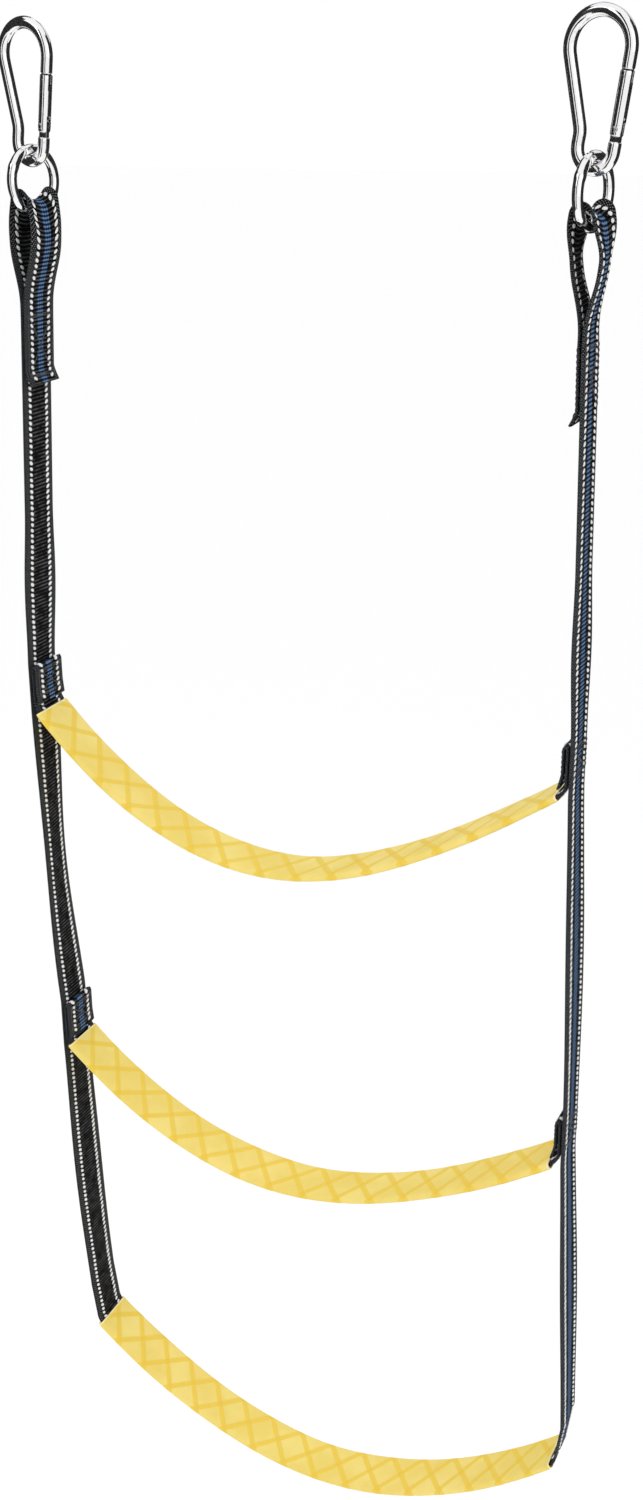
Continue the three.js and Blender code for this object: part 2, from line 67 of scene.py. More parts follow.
# Webbing
WIDTH = 27 * MM
THICKNESS = 1.7 * MM
LAYER = 2.1 * MM                 # from one sewn layer's middle to the next one's
ROW = 1.6 * MM                   # length of one row of faces
YARN_LINE = 8.0 * MM             # from the middle of the webbing to each line of reflective yarn
YARN_PITCH = 3.15 * MM
YARN_HALF_WIDTH = 1.65 * MM
YARN_HALF_LENGTH = 1.28 * MM
YARN_HEIGHT = 0.42 * MM
STRIPE_WIDTH = 5.2 * MM

# Loop over the ring
RING_RADIUS = 15.4 * MM
RING_WIRE = 5.2 * MM
LOOP_GAP = 0.9 * MM
LOOP_RADIUS = 5.9 * MM
LOOP_LENGTH = 47 * MM
LOOP_SEAM = 41 * MM
LOOP_PULL = 16 * MM              # how far the curves of the loop's legs are drawn out
LOOP_BELLY = 4.2 * MM            # how much wider than its top the loop is drawn below
TAIL_FLARE = 3.4 * MM            # the tail's end stands off the rail
CUP_RADIUS = RING_RADIUS - RING_WIRE / 2 - LOOP_GAP - 0.9 * MM
LOOP_CUP = 0.84                  # the webbing is a little flatter than the ring it lies in
LOOP_TURN = {"left": math.radians(-2), "right": math.radians(5)}
LOOP_ARC_Z = RING_WIRE / 2 + LOOP_GAP + 2.0 * MM - LOOP_RADIUS

# Hooks
HANGER_YAW = math.radians(-11)
WIRE = 6 * MM
TOP_RADIUS = 15 * MM
BOW_RADIUS = 9 * MM
HOOK_HEIGHT = 72 * MM
LEG_LEAN = math.radians(12)
LEG_LENGTH = 30 * MM
NOSE_DISTANCE = 7 * MM
PIVOT_DISTANCE = 32 * MM
GATE_DIAMETER = 6.4 * MM
GATE_LENGTH = PIVOT_DISTANCE - NOSE_DISTANCE - 0.5 * MM
PIN_HEIGHT = GATE_LENGTH - 2.5 * MM

# Steps
STEP_NAMES = ("upper", "middle", "bottom")
STEP_SAG = (77 * MM, 67.5 * MM, 71.7 * MM)
STEP_SKEW = (17 * MM, 10 * MM, -1.5 * MM)
CURVE_POWER = 1.9
TAB_HEIGHT = 26 * MM
TAB_END = 3 * MM
SLEEVE_WIDTH = 30.6 * MM
SLEEVE_THICKNESS = 4.4 * MM
SLEEVE_WALL = 0.8 * MM
SLEEVE_END = -3.8 * MM           # from the end of the sag to the sleeve's end
RIGHT_SLEEVE_GAP = 3.2 * MM      # more on the doubled right ends, where the tail comes down
DIAMOND_PITCH = 22.4 * MM
DIAMOND_SPAN = 28.8 * MM         # across the sleeve
DIAMOND_HEIGHT = 0.32 * MM


def smooth(x, low, high):
    t = np.clip((x - low) / (high - low), 0, 1)
    return t * t * (3 - 2 * t)


# ---- Camera -------------------------------------------------------------------------------------

CAMERA_PLACE = Vector((0.3713, -0.7872, -0.0231))
CAMERA_YAW = math.radians(24.5)
CAMERA_PITCH = math.radians(-21.5)
CAMERA_ROLL = math.radians(-0.4)
CAMERA_LENS = 41.07
GAP_FREE = math.radians(114.5)    # straight ahead of the camera
CARDS = ((66, 120), (-66, 120), (149, 18))   # middle and width, degrees from it


def add_camera():
    forward = Vector((
        -math.sin(CAMERA_YAW) * math.cos(CAMERA_PITCH),
        math.cos(CAMERA_YAW) * math.cos(CAMERA_PITCH),
        math.sin(CAMERA_PITCH),
    ))
    right = forward.cross(Vector((0, 0, 1))).normalized()
    up = right.cross(forward)
    turned = Matrix((right, up, -forward)).transposed() @ Matrix.Rotation(CAMERA_ROLL, 3, "Z")
    data = bpy.data.cameras.new("camera")
    data.lens = CAMERA_LENS
    data.sensor_width = 36
    data.clip_end = 50
    camera = bpy.data.objects.new("camera", data)
    camera.matrix_world = Matrix.Translation(CAMERA_PLACE) @ turned.to_4x4()
    bpy.context.scene.collection.objects.link(camera)
    bpy.context.scene.camera = camera


# ---- Materials ----------------------------------------------------------------------------------

class Nodes:
    """Short calls for building one material's node tree."""

    def __init__(self, name):
        self.material = bpy.data.materials.new(name)
        self.material.use_nodes = True
        self.tree = self.material.node_tree
        self.shader = self.tree.nodes["Principled BSDF"]

    def add(self, kind, **inputs):
        node = self.tree.nodes.new(kind)
        for key, value in inputs.items():
            self.put(node, key, value)
        return node

    def put(self, node, key, value):
        names = [socket.name.replace(" ", "_") for socket in node.inputs]
        index = int(key[1:]) if key[0] == "i" and key[1:].isdigit() else names.index(key)
        if isinstance(value, bpy.types.NodeSocket):
            self.tree.links.new(value, node.inputs[index])
        else:
            node.inputs[index].default_value = value

    def math(self, operation, a, b=0.0):
        node = self.add("ShaderNodeMath", i0=a, i1=b)
        node.operation = operation
        return node.outputs[0]

    def mix(self, factor, a, b):
        node = self.tree.nodes.new("ShaderNodeMix")
        node.data_type = "RGBA"
        for index, value in ((0, factor), (6, a), (7, b)):
            if isinstance(value, bpy.types.NodeSocket):
                self.tree.links.new(value, node.inputs[index])
            else:
                node.inputs[index].default_value = value
        return node.outputs[2]

    def uv(self):
        split = self.add("ShaderNodeSeparateXYZ", Vector=self.tree.nodes.new("ShaderNodeUVMap").outputs[0])
        return split.outputs[0], split.outputs[1]

    def noise(self, scale, detail=3.0, vector=None):
        node = self.add("ShaderNodeTexNoise", Scale=scale, Detail=detail)
        if vector is None:
            vector = self.tree.nodes.new("ShaderNodeTexCoord").outputs["Object"]
        self.tree.links.new(vector, node.inputs["Vector"])
        return node.outputs[0]

    def ramp(self, value, low, high):
        node = self.add("ShaderNodeMapRange", Value=value, From_Min=low, From_Max=high)
        node.interpolation_type = "SMOOTHSTEP"
        return node.outputs[0]

    def bump(self, height, strength, distance):
        node = self.add("ShaderNodeBump", Height=height, Strength=strength, Distance=distance)
        self.tree.links.new(node.outputs[0], self.shader.inputs["Normal"])

    def set(self, **inputs):
        for key, value in inputs.items():
            self.put(self.shader, key, value)
        return self.material


def webbing_material():
    """Black woven webbing. Its UV is millimetres: across (plus 100 on the plain face) and along."""
    n = Nodes("black_webbing")
    across, along = n.uv()
    from_middle = n.math("ABSOLUTE", across)
    rib = n.math("SINE", n.math("MULTIPLY", along, 2 * math.pi / 1.05))
    cord = n.math("SINE", n.math("MULTIPLY", across, 2 * math.pi / 1.3))
    rib_share = n.math("MULTIPLY_ADD", rib, 0.5)
    n.put(rib_share.node, "i2", 0.5)
    cord_share = n.math("MULTIPLY_ADD", cord, 0.5)
    n.put(cord_share.node, "i2", 0.5)
    weave = n.math("MULTIPLY", rib_share, n.math("ADD", n.math("MULTIPLY", cord_share, 0.35), 0.65))
    # Random noise that breaks up the painted sheen on the ribs.
    sheen_breakup_noise = n.noise(220.0, 4.0)
    face = n.math("MULTIPLY", n.math("GREATER_THAN", across, 50.0), 100.0)
    from_side = n.math("ABSOLUTE", n.math("SUBTRACT", across, face))
    speck_row = n.math("SINE", n.math("MULTIPLY", along, 2 * math.pi / 1.6))
    speck_column = n.math("SINE", n.math("MULTIPLY", across, 2 * math.pi / 1.7))
    specks = n.ramp(n.math("MULTIPLY", speck_row, speck_column), 0.45, 0.8)
    broad_rib = n.math("SINE", n.math("MULTIPLY", along, 2 * math.pi / 2.1))
    # Painted sheen: the broad ribs are painted dark grey on the black, as if light caught their tops. Noise
    # breaks it up at random.
    painted_rib_sheen = n.ramp(n.math("MULTIPLY", n.math("ADD", broad_rib, 1.0), sheen_breakup_noise), 0.5, 1.2)
    plain = n.mix(painted_rib_sheen, (0.001, 0.001, 0.0013, 1), (0.085, 0.087, 0.093, 1))
    border = n.ramp(from_side, 9.6, 9.9)
    plain = n.mix(border, plain, n.mix(specks, (0.002, 0.002, 0.0025, 1), (0.30, 0.31, 0.32, 1)))
    pick_column = n.math("SINE", n.math("MULTIPLY", across, 2 * math.pi / 1.75))
    picks = n.ramp(n.math("ADD", broad_rib, n.math("MULTIPLY", pick_column, 0.6)), -0.4, 1.0)
    blue = n.mix(picks, (0.004, 0.010, 0.032, 1), (0.13, 0.25, 0.46, 1))
    stripe = n.ramp(from_middle, STRIPE_WIDTH / MM / 2 + 0.35, STRIPE_WIDTH / MM / 2 - 0.35)
    colour = n.mix(stripe, plain, blue)
    n.bump(weave, 0.9, 0.00045)
    return n.set(Base_Color=colour, Roughness=0.8, Specular_IOR_Level=0.1)


def yarn_material():
    """Reflective yarn: bright, a little glossy, with fine filaments."""
    n = Nodes("reflective_yarn")
    across, along = n.uv()
    strand = n.math("SINE", n.math("ADD", n.math("MULTIPLY", along, 11.0), n.math("MULTIPLY", across, 7.0)))
    tone = n.mix(n.ramp(strand, -0.7, 0.4), (0.70, 0.71, 0.72, 1), (0.97, 0.97, 0.97, 1))
    n.bump(strand, 0.35, 0.0002)
    return n.set(Base_Color=tone, Roughness=0.38)


def sleeve_material():
    """Soft yellow tube with a raised diamond pattern. Its UV is millimetres across and along."""
    n = Nodes("yellow_sleeve")
    across, along = n.uv()
    position = n.math("DIVIDE", along, DIAMOND_PITCH / MM)
    slope = n.math("DIVIDE", across, DIAMOND_SPAN / MM)
    lines = []
    for operation in ("ADD", "SUBTRACT"):
        phase = n.math(operation, position, slope)
        away = n.math("ABSOLUTE", n.math("SUBTRACT", phase, n.math("ROUND", phase)))
        lines.append(n.ramp(away, 0.125, 0.07))
    crossing = n.math("MULTIPLY", lines[0], lines[1])
    line = n.math("MAXIMUM", lines[0], lines[1])
    grain = n.noise(900.0, 3.0)
    cloud = n.noise(35.0, 3.0)
    panel = n.mix(n.ramp(cloud, 0.35, 0.68), (0.83, 0.62, 0.125, 1), (0.88, 0.69, 0.19, 1))
    ridge = n.mix(crossing, (0.82, 0.56, 0.03, 1), (0.80, 0.52, 0.015, 1))
    tinted = n.mix(n.math("MULTIPLY", line, 0.85), panel, ridge)
    fine = n.math("SINE", n.math("MULTIPLY", along, 2 * math.pi / 0.9))
    height = n.math("ADD", n.math("MULTIPLY", grain, 0.6), n.math("MULTIPLY", fine, 0.14))
    n.bump(height, 0.22, 0.0004)
    return n.set(
        Base_Color=n.mix(n.math("MULTIPLY", grain, 0.16), tinted, (0.95, 0.80, 0.36, 1)),
        Roughness=0.5,
        Specular_IOR_Level=0.3,
        Subsurface_Weight=0.12,
        Subsurface_Scale=0.002,
    )


def sleeve_edge_material():
    """The paler hot-cut edge of the tube."""
    n = Nodes("sleeve_cut_edge")
    tone = n.mix(n.noise(500.0), (0.86, 0.70, 0.26, 1), (0.95, 0.84, 0.50, 1))
    return n.set(Base_Color=tone, Roughness=0.5)


def thread_material():
    n = Nodes("sewing_thread")
    across, along = n.uv()
    twist = n.math("SINE", n.math("MULTIPLY", n.math("ADD", along, across), 9.0))
    tone = n.mix(n.ramp(twist, -0.5, 0.8), (0.010, 0.010, 0.012, 1), (0.075, 0.076, 0.082, 1))
    n.bump(twist, 0.4, 0.0002)
    return n.set(Base_Color=tone, Roughness=0.5, Sheen_Weight=0.15)


def steel_material(name, tone, roughness):
    """Polished steel with a faint grain, cloudy polish and small dull spots."""
    n = Nodes(name)
    cloud = n.noise(90.0, 4.0)
    grain = n.noise(1600.0, 2.0)
    spots = n.ramp(n.noise(420.0, 5.0), 0.60, 0.72)
    polish = n.add("ShaderNodeMapRange", Value=cloud, To_Min=roughness * 0.7, To_Max=roughness * 1.5)
    colour = n.mix(n.math("MULTIPLY", spots, 0.35), (tone, tone, tone * 1.01, 1), (0.42, 0.41, 0.39, 1))
    dulled = n.math("ADD", polish.outputs[0], n.math("MULTIPLY", spots, 0.12))
    n.bump(grain, 0.05, 0.0002)
    return n.set(Base_Color=colour, Roughness=dulled, Metallic=1.0)


WEBBING = webbing_material()
YARN = yarn_material()
SLEEVE = sleeve_material()
SLEEVE_EDGE = sleeve_edge_material()
THREAD = thread_material()
STEEL = steel_material("polished_steel", 0.90, 0.06)
DARK_STEEL = steel_material("satin_steel", 0.48, 0.26)


# ---- Mesh helpers -------------------------------------------------------------------------------

class Shape:
    """Vertices, faces, UVs and material numbers that several builders add to."""

    def __init__(self):
        self.points, self.uvs, self.faces, self.kinds = [], [], [], []
        self.count = 0

    def add(self, points, uvs, faces, kind=0):
        self.points.append(np.asarray(points, float))
        self.uvs.append(np.asarray(uvs, float))
        self.faces += [[i + self.count for i in face] for face in faces]
        self.kinds += [kind] * len(faces)
        self.count += len(points)

    def build(self, name, materials, sharp=40):
        mesh = bpy.data.meshes.new(name)
        mesh.from_pydata(np.concatenate(self.points).tolist(), [], self.faces)
        for material in materials:
            mesh.materials.append(material)
        mesh.polygons.foreach_set("material_index", self.kinds)
        corners = np.empty(len(mesh.loops), np.int32)
        mesh.loops.foreach_get("vertex_index", corners)
        layer = mesh.uv_layers.new(name="millimetres")
        layer.data.foreach_set("uv", np.concatenate(self.uvs)[corners].astype(np.float32).ravel())
        tidy = bmesh.new()
        tidy.from_mesh(mesh)
        bmesh.ops.recalc_face_normals(tidy, faces=tidy.faces)
        tidy.to_mesh(mesh)
        tidy.free()
        mesh.shade_smooth()
        mesh.set_sharp_from_angle(angle=math.radians(sharp))
        piece = bpy.data.objects.new(name, mesh)
        bpy.context.scene.collection.objects.link(piece)
        return piece


def tube_faces(rows, around, capped=True):
    """Quads of a tube whose vertices are rows of rings, with an end cap at each end."""
    faces = []
    for r in range(rows - 1):
        for a in range(around):
            b = (a + 1) % around
            faces.append([r * around + a, r * around + b, (r + 1) * around + b, (r + 1) * around + a])
    if capped:
        faces.append(list(range(around))[::-1])
        faces.append([(rows - 1) * around + a for a in range(around)])
    return faces


def line(a, b, count=2):
    a, b = np.array(a, float), np.array(b, float)
    return [a + (b - a) * t for t in np.linspace(0, 1, count)]


def arc(centre, radius, start, end, count):
    angles = np.linspace(start, end, count)
    return [np.array((centre[0] + radius * math.cos(a), centre[1] + radius * math.sin(a))) for a in angles]


def bezier(*corners, count=24):
    corners = np.array(corners, float)
    result = []
    for t in np.linspace(0, 1, count):
        layer = corners
        while len(layer) > 1:
            layer = layer[:-1] * (1 - t) + layer[1:] * t
        result.append(layer[0])
    return result


class Path:
    """A curve in the XZ plane, read by its distance from the start."""

    def __init__(self, *stretches):
        points = np.array([point for stretch in stretches for point in stretch])
        steps = np.hypot(*np.diff(points, axis=0).T)
        points = points[np.concatenate(([True], steps > 1e-7))]
        self.s = np.concatenate(([0], np.cumsum(np.hypot(*np.diff(points, axis=0).T))))
        self.x, self.z = points.T
        middles = (self.s[1:] + self.s[:-1]) / 2
        angles = np.unwrap(np.arctan2(np.diff(self.z), np.diff(self.x)))
        self.middles, self.angles = middles, angles
        self.length = self.s[-1]

    def at(self, s):
        angle = np.interp(s, self.middles, self.angles)
        return np.interp(s, self.s, self.x), np.interp(s, self.s, self.z), np.cos(angle), np.sin(angle)

    def distance(self, z, after=0.0):
        """The first distance past `after` where the path comes down through height z."""
        for i in range(len(self.s) - 1):
            if self.s[i + 1] > after and self.z[i] >= z > self.z[i + 1]:
                share = (self.z[i] - z) / (self.z[i] - self.z[i + 1])
                return self.s[i] + share * (self.s[i + 1] - self.s[i])
        raise ValueError(f"the path doesn't come down through {z}")


class Strap:
    """Webbing that follows a path. `hand` is 1 when the striped face is to the path's right."""

    def __init__(self, path, hand, cup=None, turn=None, axis=None):
        self.path, self.hand, self.cup, self.turn, self.axis = path, hand, cup, turn, axis

    def place(self, s, v, t):
        """Points at distance s, v across and t out of the middle towards the striped face."""
        s, v, t = np.broadcast_arrays(np.asarray(s, float), v, t)
        x, z, along_x, along_z = self.path.at(s)
        out_x, out_z = self.hand * along_z, -self.hand * along_x
        cup = np.maximum(self.cup(z), 1e-6) if self.cup else np.full_like(s, 1e-6)
        angle = cup * v / CUP_RADIUS
        across = CUP_RADIUS / cup * np.sin(angle) - t * out_z * np.sin(angle)
        up = z + CUP_RADIUS / cup * (1 - np.cos(angle)) + t * out_z * np.cos(angle)
        sideways = x + t * out_x
        if self.turn:
            turn, axis = self.turn(z), self.axis(z)
            off = sideways - axis
            sideways, across = (
                axis + off * np.cos(turn) - across * np.sin(turn),
                off * np.sin(turn) + across * np.cos(turn),
            )
        return np.stack((sideways, across, up), -1)


def half_thickness(v):
    """The webbing is a little thinner at its selvedges and stands proud along the yarn lines."""
    edge = 1 - 0.45 * np.abs(v / (WIDTH / 2)) ** 14
    yarn = 0.10 * MM * np.exp(-((np.abs(v) - YARN_LINE) / (1.4 * MM)) ** 2)
    return (THICKNESS / 2 - 0.10 * MM) * edge + yarn


HALF_ACROSS = [3.2, 6.1, 8, 9.9, 11.9, 13.2, 13.5]
ACROSS = np.array([-v for v in HALF_ACROSS[::-1]] + [0] + HALF_ACROSS) * MM
ROUNDED = np.radians([80, 60, 40, 20])


def add_webbing(shape, strap, start, end, rounded=""):
    """One length of webbing between two distances along its strap, with its reflective yarn.

    An end named in `rounded` runs past the cut in a half round, for a fold between two pieces.
    """
    rows = max(2, round((end - start) / ROW) + 1)
    s = np.linspace(start, end, rows)
    scale = np.ones(rows)
    past, shrink = THICKNESS / 2 * np.sin(ROUNDED), np.cos(ROUNDED)
    if "start" in rounded:
        s, scale = np.concatenate((start - past, s)), np.concatenate((shrink, scale))
    if "end" in rounded:
        s, scale = np.concatenate((s, end + past[::-1])), np.concatenate((scale, shrink[::-1]))
    rows = len(s)
    v = np.concatenate((ACROSS, ACROSS[::-1]))
    side = np.repeat((1, -1), len(ACROSS))
    t = side * half_thickness(v)
    points = strap.place(s[:, None], v[None], scale[:, None] * t[None]).reshape(-1, 3)
    u = np.where(side > 0, v / MM, v / MM + 100)
    uvs = np.stack(np.broadcast_arrays(u[None], s[:, None] / MM), -1).reshape(-1, 2)
    shape.add(points, uvs, tube_faces(rows, len(v)))

    angles = np.linspace(0, 2 * math.pi, 8, endpoint=False)
    faces = [[a, (a + 1) % 8, 8 + (a + 1) % 8, 8 + a] for a in range(8)]
    faces += [[8 + a, 8 + (a + 1) % 8, 16] for a in range(8)]
    faces.append(list(range(8))[::-1])
    first = math.ceil((start + YARN_HALF_LENGTH) / YARN_PITCH)
    last = math.floor((end - YARN_HALF_LENGTH) / YARN_PITCH)
    for face in (1, -1):
        for middle in (-YARN_LINE, YARN_LINE):
            for k in range(first, last + 1):
                wobble = random.Random(k * 4 + face + (middle > 0)).uniform
                centre = k * YARN_PITCH + wobble(-0.1, 0.1) * MM
                size = wobble(0.9, 1.06)
                across = middle + wobble(-0.12, 0.12) * MM
                lean = 0.35 * face * math.copysign(1, middle)
                ds = YARN_HALF_LENGTH * size * np.sin(angles)
                dv = YARN_HALF_WIDTH * size * np.cos(angles)
                s_ring = centre + ds + lean * dv
                height = half_thickness(across)
                ring_s = np.concatenate((s_ring, centre + (s_ring - centre) * 0.66, [centre]))
                ring_v = np.concatenate((across + dv, across + dv * 0.66, [across]))
                lift = np.concatenate((np.full(8, -0.2 * MM), np.full(8, 0.72 * YARN_HEIGHT), [YARN_HEIGHT]))
                dome = strap.place(ring_s, ring_v, face * (height + lift))
                shape.add(dome, np.stack((ring_v / MM, ring_s / MM), -1), faces, 1)


def webbing_piece(name, strap, start, end, rounded=""):
    shape = Shape()
    add_webbing(shape, strap, start, end, rounded)
    piece = shape.build(name, [WEBBING, YARN])
    return piece


def add_stitch(shape, strap, a, b, face, surface):
    """One stitch between two (s, v) points: a thread that rises from the cloth and dips back in."""
    count, around, radius = 5, 6, 0.3 * MM
    along = np.array(b) - np.array(a)
    along_unit = along / np.linalg.norm(along)
    side_unit = np.array((-along_unit[1], along_unit[0]))
    points, uvs = [], []
    for t in np.linspace(0, 1, count):
        middle = np.array(a) + along * t
        rise = surface + (0.30 * math.sin(math.pi * t) - 0.12) * MM
        for angle in np.linspace(0, 2 * math.pi, around, endpoint=False):
            off = side_unit * radius * math.cos(angle)
            points.append((middle[0] + off[0], middle[1] + off[1], rise + radius * math.sin(angle)))
            uvs.append((middle[1] / MM, middle[0] / MM))
    points = np.array(points)
    placed = strap.place(points[:, 0], points[:, 1], face * points[:, 2])
    shape.add(placed, uvs, tube_faces(count, around))


def stitch_row(shape, strap, a, b, face, surface, pitch=2.7 * MM):
    a, b = np.array(a), np.array(b)
    count = max(1, round(np.linalg.norm(b - a) / pitch))
    for k in range(count):
        low, high = (k + 0.06) / count, (k + 0.94) / count
        add_stitch(shape, strap, a + (b - a) * low, a + (b - a) * high, face, surface)


def box_stitches(name, strap, low, high, faces):
    """A box of stitches with both diagonals, on the given faces: (face, height of the surface)."""
    shape = Shape()
    half = WIDTH / 2 - 2.2 * MM
    corners = [(low, -half), (low, half), (high, half), (high, -half)]
    runs = [(corners[i], corners[(i + 1) % 4]) for i in range(4)]
    runs += [(corners[0], corners[2]), (corners[1], corners[3])]
    runs += [((s, -half), (s, half)) for s in (low + 1.3 * MM, high - 1.3 * MM)]
    for face, surface in faces:
        for a, b in runs:
            stitch_row(shape, strap, a, b, face, surface)
    piece = shape.build(name, [THREAD])
    return piece


# ---- Rails --------------------------------------------------------------------------------------

def joint_point(name):
    return Vector(JOINTS[name]["pos_m"])


def node_middle(name):
    low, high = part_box(name)
    return (low + high) / 2


def rail_x(side, index):
    return node_middle(f"{side}_{STEP_NAMES[index]}_joint_rail").x


def step_z(index):
    """Height of a step's ends."""
    if index < 2:
        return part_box(f"left_{STEP_NAMES[index]}_joint_rail")[0].z + 2 * MM
    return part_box("bottom_step_webbing")[1].z - TAB_HEIGHT


def step_x(index):
    low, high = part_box(f"{STEP_NAMES[index]}_step_webbing")
    return (low.x + high.x) / 2


def ring_foot(side):
    low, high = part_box(f"{side}_ring")
    return Vector(((low.x + high.x) / 2, 0, low.z + RING_WIRE / 2))


FOLD = 1 * MM                    # from a joint's end to its fold
RAIL_BOW = {"left": (2.6 * MM, 1.6 * MM), "right": (0.8 * MM, 0.5 * MM)}   # middle, bottom; outwards
RAIL_HALF = (rail_x("right", 0) - rail_x("left", 0)) / 2


def bowed(a, b, amount):
    """A hanging length between two points that bows sideways, most a little below its middle."""
    share = np.linspace(0, 1, 40)
    side = amount * np.sin(math.pi * share ** 1.25)
    return [point + np.array((x, 0)) for point, x in zip(line(a, b, 40), side)]


def rail_strap(side, outward):
    """The whole rail: sewn tail, loop over the ring, and down to the top of the bottom step."""
    foot = ring_foot(side)
    top_x = rail_x(side, 0)
    joint_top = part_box(f"{side}_upper_joint_rail")[1].z
    x = outward * LAYER / 2
    flare = outward * TAIL_FLARE
    pull = LOOP_PULL
    wide = outward * (LOOP_RADIUS + LOOP_BELLY)
    end = -LOOP_LENGTH - LOOP_SEAM
    start = math.pi if outward > 0 else 0
    local = [
        *bezier((-x - flare, end), (-x - flare * 0.3, end + 4 * MM), (-x, end + 7 * MM), count=8),
        *line((-x, end + 7 * MM), (-x, -LOOP_LENGTH), 12),
        *bezier((-x, -LOOP_LENGTH), (-x, -LOOP_LENGTH + pull), (-wide, -pull - 3 * MM),
                (-outward * LOOP_RADIUS, LOOP_ARC_Z)),
        *arc((0, LOOP_ARC_Z), LOOP_RADIUS, start, math.pi - start, 24),
        *bezier((outward * LOOP_RADIUS, LOOP_ARC_Z), (wide, -pull - 3 * MM), (x, -LOOP_LENGTH + pull),
                (x, -LOOP_LENGTH)),
        *line((x, -LOOP_LENGTH), (x, end), 12),
    ]
    lean = math.atan2(foot.x + x - top_x, foot.z - joint_top)
    turned = [
        np.array((foot.x + p[0] * math.cos(lean) + p[1] * math.sin(lean),
                  foot.z - p[0] * math.sin(lean) + p[1] * math.cos(lean)))
        for p in local
    ]
    joint_foot = step_z(0) - 2 * MM
    mid_x, mid_top = rail_x(side, 1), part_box(f"{side}_middle_joint_rail")[1].z
    mid_foot = step_z(1) - 2 * MM
    low = joint_point("bottom_step_level" if side == "left" else "right_bottom_foot_fold")
    bow_middle, bow_bottom = RAIL_BOW[side]
    path = Path(
        turned,
        line((top_x, joint_top), (top_x, joint_foot - FOLD), 8),
        bowed((top_x, joint_foot - FOLD), (mid_x, mid_top + FOLD), outward * bow_middle),
        line((mid_x, mid_top + FOLD), (mid_x, mid_foot - FOLD), 8),
        bowed((mid_x, mid_foot - FOLD), (low.x, low.z), outward * bow_bottom),
        line((low.x, low.z), (low.x, low.z - 1 * MM), 2),
    )
    heights = [low.z, mid_foot, mid_top, joint_foot, joint_top, foot.z]
    places = [low.x, mid_x, mid_x, top_x, top_x, foot.x]

    def cup(z):
        return LOOP_CUP * smooth(z, foot.z - 24 * MM, foot.z - 2 * MM)

    def turn(z):
        below = LOOP_TURN[side] * smooth(z, foot.z - LOOP_LENGTH - 10 * MM, foot.z - 20 * MM)
        loop = below + (HANGER_YAW - below) * smooth(z, foot.z - 16 * MM, foot.z - 2 * MM)
        return loop + rail_turn(side, z, joint_top, joint_foot, mid_top, mid_foot, low.z)

    return Strap(path, -outward, cup, turn, lambda z: np.interp(z, heights, places))


def rail_turn(side, z, joint_top, joint_foot, mid_top, mid_foot, low):
    """The small turns of the hanging webbing between its sewn joints."""
    amounts = {"left": (-5, 9, -4), "right": (-4, -3, -3)}[side]
    spans = ((joint_top + 90 * MM, joint_top), (joint_foot, mid_top), (mid_foot, low))
    total = np.zeros_like(z)
    for amount, (high, foot) in zip(amounts, spans):
        share = np.clip((high - z) / (high - foot), 0, 1)
        total = total + math.radians(amount) * np.sin(math.pi * share) ** 2
    return total


def below_loop(side, path):
    """A distance along the rail that is past its loop. From there on the path only goes down."""
    return path.distance(ring_foot(side).z - 50 * MM, after=LOOP_LENGTH + LOOP_SEAM + 30 * MM)


def add_rail(side, outward):
    strap = rail_strap(side, outward)
    path = strap.path
    loop_end = below_loop(side, path)

    def at(z):
        return path.distance(z, after=loop_end)

    bodies = {
        "strap": f"{side}_top_strap",
        "a": f"{side}_rail_above_middle_upper", "b": f"{side}_rail_above_middle_lower",
        "c": f"{side}_rail_above_bottom_upper", "d": f"{side}_rail_above_bottom_lower",
    }
    fold_names = {
        "left": ("upper_step_level", "gather_middle", "left_middle_crease", "middle_step_level",
                 "gather_bottom", "left_bottom_crease", "bottom_step_level"),
        "right": ("right_strap_sway", "right_middle_top_fold", None, "right_middle_foot_fold",
                  "right_bottom_top_fold", None, "right_bottom_foot_fold"),
    }[side]
    folds = [joint_point(name).z if name else None for name in fold_names]
    folds[2] = folds[2] or (folds[1] + folds[3]) / 2
    folds[5] = folds[5] or (folds[4] + folds[6]) / 2
    order = [bodies["strap"], "upper_step", bodies["a"], bodies["b"], "middle_step", bodies["c"],
             bodies["d"], "bottom_step"]
    cuts = [folds[0] + 24 * MM]
    cuts += [(folds[i] + folds[i + 1]) / 2 for i in range(6)]
    cuts.append(folds[6] - 0.9 * MM)
    nodes = [f"{side}_top_strap", f"{side}_upper_joint_rail", f"{side}_rail_above_middle_upper_half",
             f"{side}_rail_above_middle_lower_half", f"{side}_middle_joint_rail",
             f"{side}_rail_above_bottom_upper_half", f"{side}_rail_above_bottom_lower_half"]

    def between_yarns(s):
        return (round(s / YARN_PITCH - 0.5) + 0.5) * YARN_PITCH

    cuts = [between_yarns(at(z)) for z in cuts]
    top = webbing_piece(f"{side}_rail_top", strap, 0, cuts[0])
    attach(top, bodies["strap"])
    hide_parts(nodes[0])
    for i, fold in enumerate(folds):
        start, end = cuts[i], cuts[i + 1]
        upper, lower = order[i], order[i + 1]
        if fold_names[i] is None:
            middle = between_yarns(at(fold))
            for half, low_s, high_s, body, rounded in (
                ("a", start, middle, upper, "end"), ("b", middle, end, lower, "start"),
            ):
                piece = webbing_piece(f"{side}_rail_{i}{half}", strap, low_s, high_s, rounded)
                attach(piece, body)
                if half == "b":
                    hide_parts(nodes[i + 1])
            continue
        piece = webbing_piece(f"{side}_rail_{i}", strap, start, end)
        x, z = path.at(at(fold))[:2]
        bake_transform(piece)
        if i < 6:
            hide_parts(nodes[i + 1])

    outer = THICKNESS / 2
    seam = box_stitches(
        f"{side}_loop_stitches", strap, 4 * MM, LOOP_SEAM - 4 * MM, [(1, outer), (-1, LAYER + outer)],
    )
    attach(seam, bodies["strap"])
    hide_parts(f"{side}_loop_stitching")
    return strap


# ---- Steps --------------------------------------------------------------------------------------

def sag_point(index, u, half):
    sag = STEP_SAG[index] * (1 - abs(u) ** CURVE_POWER)
    skew = STEP_SKEW[index] * u * (1 - u * u)
    return np.array((step_x(index) + u * half, step_z(index) - sag + skew))


